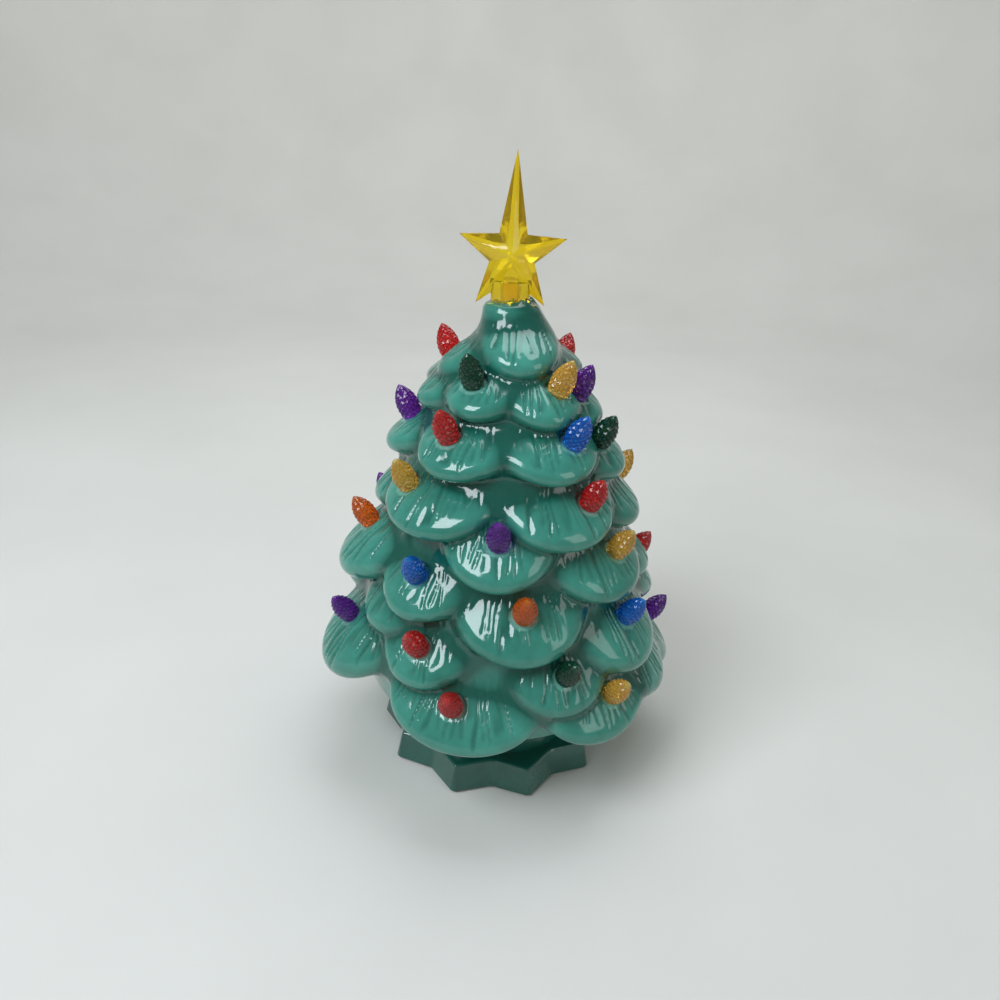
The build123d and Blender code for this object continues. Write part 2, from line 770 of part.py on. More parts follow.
def wire(start, end, level):
    """Wire that rises from one joint, runs level and turns down to the other."""
    start = Vector(*start)
    end = Vector(*end)
    run = Vector(end.X - start.X, end.Y - start.Y, 0).normalized()
    bend = run * wire_bend
    first = Vector(start.X, start.Y, level)
    last = Vector(end.X, end.Y, level)
    drop = Vector(0, 0, wire_bend)
    with BuildPart() as lead:
        with BuildLine() as route:
            Line(start, first - drop)
            TangentArc(first - drop, first + bend, tangent=(0, 0, 1))
            Line(first + bend, last - bend)
            TangentArc(last - bend, last - drop, tangent=run)
            Line(last - drop, end)
        with BuildSketch(Plane(origin=start, z_dir=(0, 0, 1))):
            Circle(wire_radius)
        sweep(path=route.wire())
    return lead.part


tab_top = case_top + contact_tab_rise
pin_top = switch_level + switch_height + switch_pin_rise
wire_level = tab_top + wire_rise
cell_tab = (tab_x, cell_pitch, tab_top)
ground_tab = (-tab_x, -cell_pitch, tab_top)
switch_in = (switch_pin_x, switch_y, pin_top)
switch_out = (-switch_pin_x, switch_y, pin_top)
switch_pad = (switch_pad_x, switch_pad_y, board_level)
ground_pad = (ground_pad_x, ground_pad_y, board_level)
save(wire(cell_tab, switch_in, wire_level), "wire_red")
save(wire(switch_out, switch_pad, wire_level), "wire_switch")
save(wire(ground_tab, ground_pad, wire_level), "wire_black")
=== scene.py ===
"""Looks of the ceramic Christmas tree: a glazed tree and base, dimpled plastic bulbs and a clear star."""

import math

import bmesh
import bpy
import numpy as np
from mathutils import Matrix, Vector


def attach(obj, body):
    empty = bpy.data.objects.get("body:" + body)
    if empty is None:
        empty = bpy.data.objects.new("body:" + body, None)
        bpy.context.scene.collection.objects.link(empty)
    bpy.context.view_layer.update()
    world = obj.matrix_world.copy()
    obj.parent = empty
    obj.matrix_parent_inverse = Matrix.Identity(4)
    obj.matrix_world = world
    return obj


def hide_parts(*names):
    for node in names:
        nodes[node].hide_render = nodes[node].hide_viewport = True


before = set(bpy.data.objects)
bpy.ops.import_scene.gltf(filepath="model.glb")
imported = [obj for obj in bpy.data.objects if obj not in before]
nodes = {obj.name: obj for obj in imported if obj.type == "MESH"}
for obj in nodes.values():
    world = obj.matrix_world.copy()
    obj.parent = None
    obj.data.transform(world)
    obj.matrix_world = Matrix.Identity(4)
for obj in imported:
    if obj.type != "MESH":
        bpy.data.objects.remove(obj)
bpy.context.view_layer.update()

MM = 0.001

# Sizes of the solids: millimetres, degrees and shares
BASE_TOP = 14.0
TREE_HEIGHT = 189.0
FOOT_HEIGHT = 25.0
FOOT_WALL = 5.0
FOOT_RADIUS = 40.1
SKIRT_RADIUS = 76.0
SHELL_WALL = 4.5
TRUNK_INSET_LOW = 3.0
TRUNK_INSET_HIGH = 6.0
SKIRT_TRIM = 7.0
RIM_RADIUS = 10.0
TIP_SHIFT = -3.5
RIM_THICKNESS = 6.0
RIM_ROUND = 2.4
BRANCH_REACH = 24.0
RISE_LOW = 52.0
RISE_HIGH = 68.0
CROWN_SHARE = 0.55
NOSE_SHARE = 0.36
SLIP_SHARE = 0.06
ROOT_SHARE = 0.4
LENGTH = 1 + ROOT_SHARE
SHOULDER_RISE = 26.0
SHOULDER_LIFT = 0.8
SHOULDER_WIDTH_SHARE = 0.8
SHOULDER_LENGTH_SHARE = 0.5
SHOULDER_BACK_SHARE = 0.42
BULB_HEIGHT = 14.0
BULB_SEAT_RADIUS = 3.9
STEM_RADIUS = 2.2
STEM_LENGTH = 9.0
SEAT_DEPTH = 0.9
SEAT_RADIUS = 5.3
BORE_RADIUS = 2.5
BORE_LENGTH = 22.0
BULB_ROOM = 28.0
STAR_HOLE_RADIUS = 4.3

# The rounded rim on top, in shares of RIM_ROUND: how far it bulges, tucks in and drops to its shoulder
RIM_BULGE = 0.35
RIM_TUCK = 0.2
RIM_SHOULDER = 0.3

# Outlines that are turned begin a little past the axis, and a cut goes a little past what it opens
PAST_AXIS = -1.0
HOLLOW_DROP = 3.0
HOLE_DROP = 2.0

# The tree's outline: share of its height, share of the skirt's radius
OUTLINE = (
    (0.086, 1.0),
    (0.246, 0.921),
    (0.32, 0.868),
    (0.5, 0.737),
    (0.659, 0.625),
    (0.759, 0.533),
    (0.87, 0.382),
    (0.934, 0.257),
    (1.0, 0.145),
)

# Branches with a bulb: bearing of the bulb, height share, half height share, width over height,
# turn of the branch, shift, turn of the bulb's lean, colour
LIT = (
    (-115, 0.87, 0.5, 1.2, 0, 0.0, 0, "red"),
    (-31, 0.865, 0.48, 1.2, 4, 0.0, 0, "green"),
    (32, 0.858, 0.48, 1.25, -8, 0.0, 60, "gold"),
    (-36, 0.764, 0.54, 1.45, 5, 0.0, 0, "red"),
    (35, 0.766, 0.52, 1.5, -10, 0.0, 25, "blue"),
    (-88, 0.754, 0.58, 1.25, 0, 0.0, 0, "purple"),
    (63, 0.744, 0.54, 1.35, 6, -0.12, 0, "green"),
    (-54, 0.65, 0.58, 1.75, 13, 0.0, 0, "gold"),
    (40, 0.65, 0.56, 1.65, -11, 0.0, 0, "red"),
    (106, 0.606, 0.62, 1.25, 0, -0.04, 0, "gold"),
    (-3, 0.588, 0.64, 1.35, 0, 0.0, 0, "purple"),
    (54, 0.532, 0.62, 1.55, -5, 0.0, 0, "gold"),
    (-80, 0.513, 0.85, 1.2, 0, 0.12, 0, "orange"),
    (-110, 0.5, 0.7, 1.25, -4, 0.0, 0, "purple"),
    (-36, 0.489, 0.6, 1.35, 0, 0.0, 12, "blue"),
    (8, 0.45, 0.68, 1.5, 0, 0.0, 0, "orange"),
    (94, 0.427, 0.72, 1.25, 3, -0.1, 0, "red"),
    (54, 0.388, 0.76, 1.35, 0, 0.0, 0, "blue"),
    (-29, 0.351, 0.53, 1.45, 0, 0.0, 0, "red"),
    (23, 0.318, 0.52, 1.55, 0, 0.0, 0, "green"),
    (-70, 0.309, 0.9, 1.3, 0, 0.08, 15, "purple"),
    (97, 0.243, 0.76, 1.4, 0, 0.0, 0, "purple"),
    (-14, 0.254, 0.63, 2.0, 2, 0.0, 0, "red"),
    (41, 0.246, 0.6, 1.8, -3, 0.0, 0, "gold"),
    (136, 0.854, 0.46, 1.3, 0, -0.12, 0, "red"),
    (-157, 0.839, 0.52, 1.25, 0, 0.0, 0, "blue"),
    (55, 0.84, 0.46, 1.2, 8, -0.12, 40, "purple"),
    (-145, 0.733, 0.6, 1.4, 0, 0.0, 0, "gold"),
    (142, 0.62, 0.62, 1.5, 4, 0.0, 0, "orange"),
    (-176, 0.648, 0.64, 1.5, 0, 0.0, 0, "green"),
    (-137, 0.595, 0.62, 1.5, 0, 0.0, 0, "red"),
    (146, 0.474, 0.64, 1.4, 0, 0.0, 0, "blue"),
    (-170, 0.479, 0.72, 1.45, 0, 0.0, 0, "gold"),
    (-130, 0.375, 0.68, 1.45, 0, 0.0, 0, "purple"),
    (145, 0.335, 0.64, 1.4, 0, 0.0, 0, "red"),
    (-164, 0.325, 0.6, 1.5, 0, 0.0, 0, "green"),
    (166, 0.254, 0.63, 1.95, 0, 0.0, 0, "blue"),
    (-142, 0.24, 0.62, 1.75, 2, 0.0, 0, "orange"),
)

# Branches without a bulb, in the same columns up to the shift
PLAIN = (
    (6, 0.946, 0.5, 1.2, 0, 0.0),
    (-72, 0.915, 0.46, 1.2, 0, -0.04),
    (188, 0.944, 0.5, 1.2, 0, 0.0),
    (122, 0.905, 0.44, 1.2, 0, -0.12),
    (-103, 0.255, 0.72, 1.4, 0, 0.0),
    (130, 0.252, 0.6, 1.5, 0, 0.0),
    (105, 0.712, 0.56, 1.25, 0, -0.16),
    (-74, 0.85, 0.44, 1.3, 0, -0.02),
    (137, 0.744, 0.56, 1.35, 6, 0.0),
    (77, 0.636, 0.58, 1.35, 0, -0.1),
    (84, 0.505, 0.62, 1.3, 0, -0.1),
    (67, 0.262, 0.6, 1.4, 0, 0.0),
    (-90, 0.635, 0.62, 1.35, 0, -0.12),
    (-113, 0.69, 0.48, 1.35, 0, -0.08),
    (-52, 0.41, 0.52, 1.4, 0, -0.1),
    (-97, 0.4, 0.6, 1.3, 0, 0.0),
    (174, 0.8, 0.54, 1.4, 0, 0.0),
)


def outline_radius(height):
    share = height / TREE_HEIGHT
    return SKIRT_RADIUS * np.interp(share, [s for s, _ in OUTLINE], [r for _, r in OUTLINE])


def trunk_radius(height):
    taper = (TRUNK_INSET_HIGH - TRUNK_INSET_LOW) * height / TREE_HEIGHT
    return outline_radius(height) - TRUNK_INSET_LOW - taper


def rise_of(share):
    low, high = OUTLINE[1][0], OUTLINE[-3][0]
    return RISE_LOW + (RISE_HIGH - RISE_LOW) * (share - low) / (high - low)


def bearing(angle):
    return np.array((math.sin(math.radians(angle)), -math.cos(math.radians(angle)), 0.0))


def lean(angle, rise):
    up = math.radians(rise)
    return bearing(angle) * math.cos(up) + np.array((0.0, 0.0, math.sin(up)))


def ball_depth(half, crown, nose):
    core, rise = half - nose, crown - nose
    return (core * core - rise * rise) / (2 * rise)


class Branch:
    """One branch: its place, its three directions and its sizes."""

    def __init__(self, row, seed):
        angle, share, half_share, width, turn, shift = row[:6]
        self.half = BRANCH_REACH * half_share
        self.crown = self.half * CROWN_SHARE
        self.nose = self.half * NOSE_SHARE
        self.width = width
        self.seed = seed
        self.normal = lean(angle + turn, rise_of(share))
        self.down = lean(angle + turn, rise_of(share) - 90)
        self.side = np.cross(self.down, self.normal)
        height = TREE_HEIGHT * share
        reach = outline_radius(height) + BRANCH_REACH * shift
        level = np.array((0.0, 0.0, BASE_TOP + height))
        slip = self.half * (SLIP_SHARE - ROOT_SHARE)
        depth = ball_depth(self.half, self.crown, self.nose)
        drop = math.sqrt((depth + self.crown) ** 2 - (slip / LENGTH) ** 2) - depth
        skin = bearing(angle + turn) * reach + level
        self.centre = skin + self.down * slip - self.normal * drop
        seat = bearing(angle) * reach + level - self.centre
        x, y = seat @ self.side, seat @ self.down
        top = math.sqrt((depth + self.crown) ** 2 - (x / width) ** 2 - (y / LENGTH) ** 2) - depth
        lean_turn = row[6] if len(row) > 6 else 0
        self.axis = lean(angle + lean_turn, rise_of(share))
        self.across = bearing(angle + lean_turn + 90)
        self.seat = self.centre + self.side * x + self.down * y + self.normal * top - self.axis * SEAT_DEPTH

        above = min(height + SHOULDER_RISE, TREE_HEIGHT)
        root = bearing(angle + turn) * (trunk_radius(above) + SHOULDER_LIFT)
        root = root + np.array((0.0, 0.0, BASE_TOP + above))
        self.shoulder = self.centre - self.down * self.half * LENGTH * SHOULDER_BACK_SHARE
        self.climb = root - self.shoulder
        self.shoulder_width = self.half * width * SHOULDER_WIDTH_SHARE
        self.shoulder_length = self.half * LENGTH * SHOULDER_LENGTH_SHARE

    def local(self, points):
        q = points - self.centre
        return q @ self.side / self.width, q @ self.down / LENGTH, q @ self.normal


def pebble(x, y, h, half, crown, nose):
    """Signed distance to a rounded pebble: a ball crown, a round nose and a flat underside."""
    depth = ball_depth(half, crown, nose)
    ball = depth + crown - nose
    core = half - nose
    rho = np.hypot(x, y)
    lift = h + depth
    past_crown = (depth - ball) * rho**2 + core**2 * (depth + ball - 2 * lift)
    side = np.maximum(past_crown, depth * rho - core * lift)
    near = np.where(rho < core, depth - lift, np.hypot(rho - core, lift - depth))
    return np.where(side < 0, np.hypot(rho, lift) - ball, near) - nose


def tent(b, points):
    """Nearly the distance to a branch's shoulder: a leaning cone from the branch to a point on the trunk."""
    q = points - b.shoulder
    up = q @ b.normal / (b.climb @ b.normal)
    u = (q @ b.side - up * (b.climb @ b.side)) / b.shoulder_width
    v = (q @ b.down - up * (b.climb @ b.down)) / b.shoulder_length
    rho = np.maximum(np.hypot(u, v), 1e-4)
    grow = b.normal / (b.climb @ b.normal)
    across = (b.side - grow * (b.climb @ b.side)) / b.shoulder_width
    along = (b.down - grow * (b.climb @ b.down)) / b.shoulder_length
    slope = (u / rho)[..., None] * across + (v / rho)[..., None] * along + grow
    return np.maximum((rho - (1 - up)) / np.linalg.norm(slope, axis=-1), -(q @ b.normal))


def smooth(low, high, value):
    t = np.clip((value - low) / (high - low), 0, 1)
    return t * t * (3 - 2 * t)


# Carved strokes: pitch and depth, the fan that they spread in and the share of the branch that they span
COMB_PITCH = 2.6
COMB_DEPTH = 0.65
COMB_ROOT = 1.9
COMB_SPREAD = 0.52
COMB_SPAN = 1.9
COMB_SHARPNESS = 2.2
COMB_FAINTEST = 0.35

# How the strokes crowd and bend: amount, then rates across, along and from branch to branch
COMB_CROWD, COMB_CROWD_RATE = 0.34, 1.7
COMB_BEND, COMB_BEND_ACROSS, COMB_BEND_ALONG, COMB_BEND_SEED = 0.2, 2.1, 0.33, 1.7

# Where a stroke begins and ends: place, how far chance moves it, and the length over which it fades
COMB_FIRST, COMB_FIRST_DRIFT, COMB_FIRST_FADE = -1.5, 1.3, 0.35
COMB_LAST, COMB_LAST_DRIFT, COMB_LAST_FADE = 0.6, 0.26, 0.16

# Numbers that scatter the strokes' chances, and the branches' seeds
CHANCE_RATE, CHANCE_SEED, CHANCE_SCALE, CHANCE_AGAIN = 12.9898, 7.23, 43758.5453, 7.31
SEED_FIRST, SEED_STEP = 1.0, 0.77


def comb(b, x, y):
    """Carved strokes that fan out from the root of a branch to near its hem: 0 on a ridge, 1 in a groove."""
    fan = np.arctan2(x, y + COMB_ROOT * b.half)
    count = COMB_SPAN * b.half * b.width / COMB_PITCH
    s = fan / COMB_SPREAD * count / 2
    crowd = COMB_CROWD * np.sin(COMB_CROWD_RATE * s + b.seed)
    s = s + crowd + COMB_BEND * np.sin(COMB_BEND_ALONG * y + COMB_BEND_ACROSS * s + COMB_BEND_SEED * b.seed)
    stroke = np.floor(s + 0.5)
    chance = np.modf(np.abs(np.sin(stroke * CHANCE_RATE + b.seed * CHANCE_SEED) * CHANCE_SCALE))[0]
    other = np.modf(chance * CHANCE_AGAIN)[0]
    groove = (0.5 + 0.5 * np.cos(2 * math.pi * (s - stroke))) ** COMB_SHARPNESS
    first = COMB_FIRST + COMB_FIRST_DRIFT * chance
    last = COMB_LAST + COMB_LAST_DRIFT * other
    begun = smooth(first, first + COMB_FIRST_FADE, y / b.half)
    mask = begun * (1 - smooth(last, last + COMB_LAST_FADE, np.hypot(x, y) / b.half))
    return groove * mask * (COMB_FAINTEST + (1 - COMB_FAINTEST) * other)


# The tree shell as a field of distances, cut into a mesh: grid, soft union, room round each shape
# and the skin left over a bore
VOXEL = 0.8
FIELD_LOW = np.array((-84.0, -82.0, 34.0))
FIELD_HIGH = np.array((84.0, 82.0, 207.0))
TURNED_REACH = 130.0
TURNED_STEP = 0.25
MELT = 1.5
MELT_LIMIT = 40
BLOCK_MARGIN = 4.0
SEAT_BLOCK = 30.0
SEAT_BLOCK_LIFT = 3.0
BORE_SKIN = 1.2

# Evening out the skin: rounds, least slope of the field that counts and longest move
RELAX_ROUNDS = 4
LEAST_SLOPE = 0.15
LONGEST_MOVE = 0.5

# Thinning: the hollow's faces, near its outline and deep under the skin, are thinned more than the rest
HOLLOW_NEAR = 0.6
HOLLOW_DEEP = 1.5
KEEP_HOLLOW = 0.08
KEEP_ALL = 0.62

# What the glaze reads: most of a crease, and a seat's edge for the painted highlight round each seat, with
# its width and a place far from any
CREASE_MOST = 1.5
RING_WIDTH = 1.1
RING_FAR = 9.0


def profile_distance(points, radius, level):
    """Signed distance from places in the half plane to a closed outline."""
    best = np.full(radius.shape, 1e9)
    inside = np.zeros(radius.shape, dtype=bool)
    for (r0, z0), (r1, z1) in zip(points, points[1:] + points[:1]):
        dr, dz = r1 - r0, z1 - z0
        t = np.clip(((radius - r0) * dr + (level - z0) * dz) / (dr * dr + dz * dz), 0, 1)
        best = np.minimum(best, np.hypot(radius - r0 - t * dr, level - z0 - t * dz))
        crosses = (level < z0) != (level < z1)
        if dz != 0:
            inside ^= crosses & (radius < r0 + (level - z0) * dr / dz)
    return np.where(inside, -best, best)


class Field:
    """A grid of distances over a box."""

    def __init__(self, low, high, step):
        self.low, self.step = low, step
        self.axes = [np.arange(l, h, step) for l, h in zip(low, high)]
        self.shape = tuple(len(a) for a in self.axes)

    def block(self, centre, reach):
        """Slices round a place, and the grid's places there."""
        cut = []
        for low, count, c, r in zip(self.low, self.shape, centre, np.broadcast_to(reach, 3)):
            first = max(0, int((c - r - low) / self.step))
            last = min(count, int((c + r - low) / self.step) + 2)
            cut.append(slice(first, last))
        grid = np.meshgrid(*[a[s] for a, s in zip(self.axes, cut)], indexing="ij")
        return tuple(cut), np.stack(grid, -1)

    def turned(self, outline, sway):
        """Distance to a turned solid, over the whole grid, whose axis sways along X from level to level."""
        x, y, z = self.axes
        steps = np.arange(0, TURNED_REACH, TURNED_STEP)
        table = profile_distance(outline, *np.meshgrid(steps, z, indexing="ij"))
        values = np.empty(self.shape, dtype=np.float32)
        for k, shift in enumerate(sway):
            reach = np.hypot(x[:, None] - shift, y[None, :])
            values[:, :, k] = np.interp(reach, steps, table[:, k])
        return values

    def sample(self, values, points):
        """Values between grid places."""
        q = (points - self.low) / self.step
        i = np.clip(q.astype(int), 0, np.array(self.shape) - 2)
        f = q - i
        out = 0
        for dx in (0, 1):
            for dy in (0, 1):
                for dz in (0, 1):
                    w = (f[:, 0] if dx else 1 - f[:, 0]) * (f[:, 1] if dy else 1 - f[:, 1])
                    w = w * (f[:, 2] if dz else 1 - f[:, 2])
                    out = out + w * values[i[:, 0] + dx, i[:, 1] + dy, i[:, 2] + dz]
        return out

    def slope(self, values, points):
        """How the values rise, along each axis."""
        reach = 0.5 * self.step
        grad = np.empty_like(points)
        for axis in range(3):
            off = np.zeros(3)
            off[axis] = reach
            rise = self.sample(values, points + off) - self.sample(values, points - off)
            grad[:, axis] = rise / (2 * reach)
        return grad

    def skin(self, values):
        """Places and four-sided faces of the surface where the values cross zero."""
        inside = values < 0
        shape = tuple(n - 1 for n in self.shape)
        corners = [(i, j, k) for i in (0, 1) for j in (0, 1) for k in (0, 1)]
        count = np.zeros(shape, dtype=np.int8)
        for c in corners:
            count += inside[tuple(slice(d, n + d) for d, n in zip(c, shape))]
        mixed = (count > 0) & (count < len(corners))
        cells = np.argwhere(mixed)
        index = np.full(shape, -1, dtype=np.int64)
        index[mixed] = np.arange(len(cells))
        total = np.zeros((len(cells), 3))
        weight = np.zeros(len(cells))
        for axis in range(3):
            for c in corners:
                if c[axis]:
                    continue
                d = list(c)
                d[axis] = 1
                a = values[tuple((cells + c).T)]
                b = values[tuple((cells + d).T)]
                hit = (a < 0) != (b < 0)
                t = np.where(hit, a / np.where(hit, a - b, 1), 0)
                place = np.array(c, dtype=float) + t[:, None] * (np.array(d) - np.array(c))
                total += np.where(hit[:, None], place, 0)
                weight += hit
        points = self.low + self.step * (cells + total / weight[:, None])
        faces = []
        for axis in range(3):
            u, v = (axis + 1) % 3, (axis + 2) % 3
            first = [slice(1, n - 1) for n in self.shape]
            first[axis] = slice(0, self.shape[axis] - 1)
            second = list(first)
            second[axis] = slice(1, self.shape[axis])
            a, b = inside[tuple(first)], inside[tuple(second)]
            for goes_out in (True, False):
                hits = np.argwhere((a & ~b) if goes_out else (~a & b))
                hits[:, u] += 1
                hits[:, v] += 1
                ring = []
                for du, dv in ((1, 1), (0, 1), (0, 0), (1, 0)):
                    at = hits.copy()
                    at[:, u] -= du
                    at[:, v] -= dv
                    ring.append(index[tuple(at.T)])
                quad = np.stack(ring, -1)
                faces.append(quad if goes_out else quad[:, ::-1])
        return points, np.concatenate(faces)


def relax(points, faces, field, values):
    """Evens out a skin's places and draws them back onto the surface."""
    edges = np.concatenate([faces[:, [i, (i + 1) % 4]] for i in range(4)])
    edges = np.concatenate([edges, edges[:, ::-1]])
    count = np.bincount(edges[:, 0], minlength=len(points))[:, None]
    for _ in range(RELAX_ROUNDS):
        sums = [np.bincount(edges[:, 0], points[edges[:, 1], k], len(points)) for k in range(3)]
        points = 0.5 * points + 0.5 * np.stack(sums, -1) / count
        grad = field.slope(values, points)
        size = np.maximum(np.sum(grad * grad, -1, keepdims=True), LEAST_SLOPE)
        off = np.clip(field.sample(values, points)[:, None], -LONGEST_MOVE, LONGEST_MOVE)
        points = points - off * grad / size
    return points


def placed(name, data):
    """A new object in the scene."""
    obj = bpy.data.objects.new(name, data)
    bpy.context.scene.collection.objects.link(obj)
    return obj


def smooth_object(name, points, faces, material, attributes):
    """A smooth mesh with a material and values at its places, for the material to read."""
    mesh = bpy.data.meshes.new(name)
    mesh.from_pydata((points * MM).tolist(), [], faces.tolist())
    mesh.validate()
    mesh.shade_smooth()
    for key, values in attributes.items():
        layer = mesh.attributes.new(key, "FLOAT", "POINT")
        layer.data.foreach_set("value", np.asarray(values, dtype=np.float32))
    mesh.materials.append(material)
    return placed(name, mesh)


def thin_out(obj, loose):
    """Fewer faces, above all where loose is 1."""
    group = obj.vertex_groups.new(name="loose")
    group.add(np.flatnonzero(loose).tolist(), 1.0, "REPLACE")
    thin = obj.modifiers.new("thin", "DECIMATE")
    thin.vertex_group = "loose"
    thin.ratio = 1 - float(np.mean(loose)) * (1 - KEEP_HOLLOW)
    even = obj.modifiers.new("even", "DECIMATE")
    even.ratio = KEEP_ALL
    made = bpy.data.meshes.new_from_object(obj.evaluated_get(bpy.context.evaluated_depsgraph_get()))
    obj.modifiers.clear()
    obj.vertex_groups.clear()
    obj.data = made
    made.name = obj.name


def shade_by(obj, field, values):
    """Shading normals from the field itself, so that the gloss runs evenly over the faces."""
    mesh = obj.data
    flat = np.empty(3 * len(mesh.vertices))
    mesh.vertices.foreach_get("co", flat)
    slope = field.slope(values, flat.reshape(-1, 3) / MM)
    slope /= np.maximum(np.linalg.norm(slope, axis=1, keepdims=True), 1e-6)
    mesh.normals_split_custom_set_from_vertices(slope.tolist())


def melt(distance):
    """Weight of a shape in a soft union."""
    return np.exp(np.clip(-distance / MELT, -MELT_LIMIT, MELT_LIMIT))


def unmelt(weight):
    """Distance to a soft union, from the sum of its weights."""
    return -MELT * np.log(weight)


branches = [Branch(row, SEED_FIRST + SEED_STEP * n) for n, row in enumerate(LIT + PLAIN)]
lit = branches[: len(LIT)]


def trunk_outlines(skirt, top):
    """Outlines of the trunk and of the room in it, and the level of the trunk's neck."""
    shares = [share for share, _ in OUTLINE[1:-1]]
    stations = [(trunk_radius(TREE_HEIGHT * s), BASE_TOP + TREE_HEIGHT * s) for s in shares]
    edge = stations[0][0] - SKIRT_TRIM
    trunk = [
        (PAST_AXIS, skirt),
        (edge, skirt),
        *stations,
        (RIM_RADIUS + RIM_BULGE * RIM_ROUND, top - RIM_ROUND),
        (RIM_RADIUS - RIM_TUCK * RIM_ROUND, top - RIM_SHOULDER * RIM_ROUND),
        (RIM_RADIUS - RIM_ROUND, top),
        (PAST_AXIS, top),
    ]
    bore = FOOT_RADIUS - FOOT_WALL
    room = [
        (PAST_AXIS, skirt - HOLLOW_DROP),
        (bore, skirt - HOLLOW_DROP),
        (bore, skirt + SHELL_WALL / 2),
        (edge - SHELL_WALL, skirt + SHELL_WALL),
        *[(r - SHELL_WALL, z) for r, z in stations],
        (RIM_RADIUS - SHELL_WALL, top - RIM_THICKNESS),
        (PAST_AXIS, top - RIM_THICKNESS),
    ]
    return trunk, room, stations[-1][1]


def grow_branches(field, hard):
    """Soft union of trunk and branches, and the strokes; hard becomes the distance to the nearest shape."""
    melted = melt(hard)
    grooves = np.zeros_like(hard)
    for b in branches:
        spans = (b.side * b.half * b.width, b.down * b.half * LENGTH, b.normal * b.half)
        reach = np.sqrt(sum(span**2 for span in spans)) + BLOCK_MARGIN
        root = b.shoulder + b.climb
        low = np.minimum(b.centre - reach, root - BLOCK_MARGIN)
        high = np.maximum(b.centre + reach, root + BLOCK_MARGIN)
        cut, places = field.block((low + high) / 2, (high - low) / 2)
        x, y, h = b.local(places)
        groove = comb(b, x, y)
        both = melt(pebble(x, y, h, b.half, b.crown, b.nose)) + melt(tent(b, places))
        d = COMB_DEPTH * groove + unmelt(both)
        melted[cut] += melt(d)
        grooves[cut] = np.where(d < hard[cut], groove, grooves[cut])
        hard[cut] = np.minimum(hard[cut], d)
    return unmelt(melted), grooves


def drill_seats(field, values, outside):
    """Cuts the bulbs' seats and light bores into the values, and gives the distance to a seat's edge."""
    ring = np.full(values.shape, RING_FAR, dtype=np.float32)
    for b in lit:
        cut, places = field.block(b.seat + b.axis * SEAT_BLOCK_LIFT, SEAT_BLOCK)
        q = places - b.seat
        along = q @ b.axis
        off = np.sqrt(np.maximum(np.sum(q * q, -1) - along**2, 0))
        seat = np.maximum(off - SEAT_RADIUS, np.maximum(-along, along - BULB_ROOM))
        bore = np.maximum(off - BORE_RADIUS, np.abs(along + BORE_LENGTH / 2) - BORE_LENGTH / 2)
        # Past the stem a bore stays under the skin
        bore = np.maximum(bore, np.where(along < -STEM_LENGTH, outside[cut] + BORE_SKIN, -BORE_SKIN))
        values[cut] = np.maximum(values[cut], -np.minimum(seat, bore))
        ring[cut] = np.minimum(ring[cut], np.hypot(np.maximum(off - SEAT_RADIUS, 0), along))
    return ring


def build_tree(material):
    """The tree's shell, cut out of the field and thinned, with what its glaze reads."""
    field = Field(FIELD_LOW, FIELD_HIGH, VOXEL)
    x, y, z = field.axes
    top = BASE_TOP + TREE_HEIGHT
    trunk, room, neck = trunk_outlines(BASE_TOP + FOOT_HEIGHT, top)
    hard = field.turned(trunk, TIP_SHIFT * np.clip((z - neck) / (top - neck), 0, 1))
    inside = field.turned(room, np.zeros(len(z)))
    outside, grooves = grow_branches(field, hard)
    crease = np.clip((hard - outside) / (MELT * math.log(2)), 0, CREASE_MOST)
    values = np.maximum(outside, -inside)
    ring = drill_seats(field, values, outside)
    hole = np.maximum(
        np.hypot(x[:, None] - TIP_SHIFT, y[None, :])[..., None] - STAR_HOLE_RADIUS,
        (top - RIM_THICKNESS - HOLE_DROP) - z[None, None, :],
    )
    values = np.maximum(values, -hole).astype(np.float32)
    points, faces = field.skin(values)
    points = relax(points, faces, field, values)
    near = np.abs(field.sample(inside, points)) < HOLLOW_NEAR
    deep = field.sample(outside, points) < -HOLLOW_DEEP
    attributes = {
        "groove": np.clip(field.sample(grooves, points), 0, 1),
        "crease": field.sample(crease, points),
        # Closeness to a seat's edge, for the painted highlight round each seat
        "ring": np.clip(1 - field.sample(ring, points) / RING_WIDTH, 0, 1),
    }
    tree = smooth_object("tree", points, faces, material, attributes)
    thin_out(tree, near & deep)
    shade_by(tree, field, values)
    return tree


# Bulbs: scales round each and rows up each, how deep the net between them is pressed, which fades
# where the bulb is narrower than BULB_FADE_RADIUS, and the outline
BULB_SCALES = 10
BULB_ROWS = 13
BULB_EMBOSS = 0.38
BULB_FADE_RADIUS = 3.0
BULB_FIRST_SHARE = 0.05
BULB_LAST_SHARE = 0.94
BULB_STATIONS = (0.0, 0.1, 0.22, 0.36, 0.5, 0.65, 0.78, 0.88, 0.95, 1.0)
BULB_RADII = (3.9, 4.35, 4.7, 4.8, 4.6, 3.95, 2.98, 1.9, 0.95, 0.0)

# Radius and level of the rings round the stem, from its end to the seat
STEM_RINGS = (
    (0.6, -STEM_LENGTH),
    (STEM_RADIUS - 0.4, -STEM_LENGTH),
    (STEM_RADIUS, 0.5 - STEM_LENGTH),
    (STEM_RADIUS, -0.15),
    (BULB_SEAT_RADIUS - 0.5, 0.0),
    (BULB_SEAT_RADIUS, 0.1),
)


